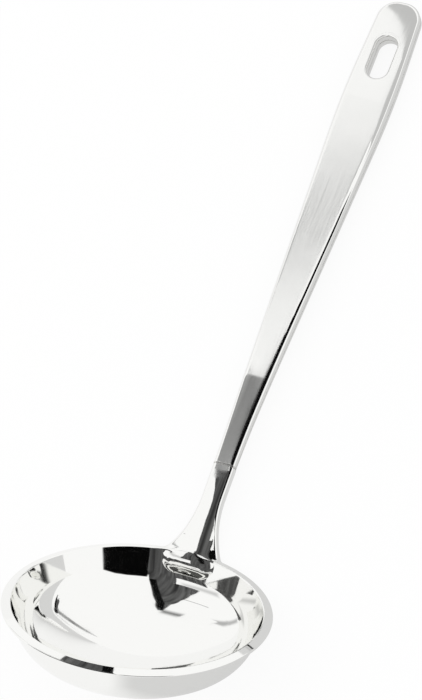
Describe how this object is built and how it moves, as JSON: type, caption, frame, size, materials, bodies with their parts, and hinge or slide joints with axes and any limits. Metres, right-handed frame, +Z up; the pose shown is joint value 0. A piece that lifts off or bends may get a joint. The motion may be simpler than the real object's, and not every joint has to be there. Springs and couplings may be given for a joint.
{
  "type": "soup ladle",
  "caption": "Soup ladle with a round, shallow bowl and flared pouring lip, a neck that straddles the rim, and a leaning hollow handle that ends in a hanging slot.",
  "frame": {"origin": "The point of the bowl's outside that touches the table, where the ladle lies on its bowl and on the back of its tip.", "axes": "+Z points up from the table, +X points from the bowl along the lying handle to its tip, and +Y points across the ladle. The bowl's own axis leans 44.2 degrees from +Z towards +X."},
  "size_m": [0.3006, 0.0948, 0.0694],
  "materials": {
    "polished_steel": "stainless steel, mirror polished",
    "satin_steel": "stainless steel, brushed lengthwise on the front face",
    "weld_steel": "stainless steel weld metal, ground flush"
  },
  "bodies": {
    "root": {"bowl": "polished_steel", "neck": "polished_steel", "handle_front_shell": "satin_steel", "handle_back_shell": "polished_steel", "handle_seam_weld": "weld_steel", "slot_weld": "weld_steel", "neck_weld": "weld_steel"}
  },
  "joints": []
}
